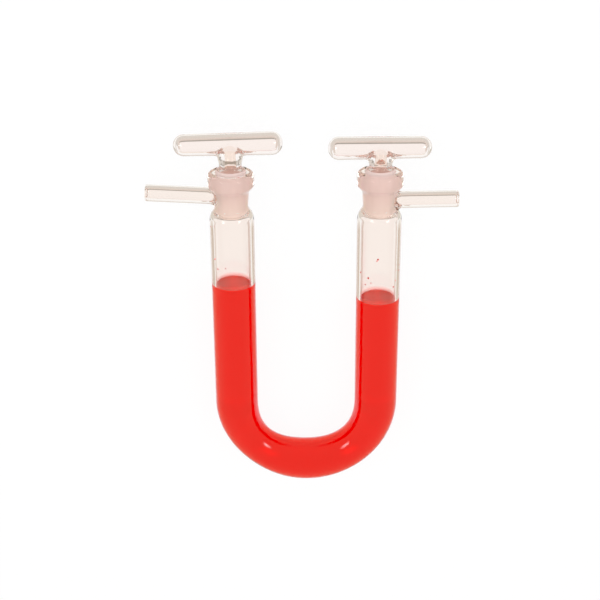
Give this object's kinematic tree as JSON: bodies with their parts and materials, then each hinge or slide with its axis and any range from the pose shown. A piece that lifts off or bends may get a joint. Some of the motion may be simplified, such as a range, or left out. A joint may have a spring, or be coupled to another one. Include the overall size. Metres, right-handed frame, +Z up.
{
  "type": "drying tube",
  "caption": "U-shaped glass drying tube with side arms, ground-in T-handled plugs that open and close them, and a red liquid filling the bend and lower limbs.",
  "frame": {"origin": "on the bench, under the middle of the tube's outline as it lies on its back", "axes": "+X across the limbs towards the right arm, +Y along the limbs towards the mouths and plugs, +Z up from the bench, out of the tube's front face"},
  "size_m": [0.1398, 0.1769, 0.0209],
  "materials": {
    "clear_glass": "gloss",
    "plug_glass": "gloss",
    "red_liquid": "gloss"
  },
  "bodies": {
    "tube": {"u_tube": "clear_glass", "red_liquid": "red_liquid"},
    "left_plug": {"left_plug": "plug_glass"},
    "right_plug": {"right_plug": "plug_glass"}
  },
  "joints": [
    {"name": "left_turn", "type": "hinge", "parent": "tube", "child": "left_plug", "pos_m": [-0.0315, 0.06035, 0.01046], "axis": [0, 1, 0], "continuous": true},
    {"name": "right_turn", "type": "hinge", "parent": "tube", "child": "right_plug", "pos_m": [0.0347, 0.06035, 0.01046], "axis": [0, 1, 0], "continuous": true}
  ]
}
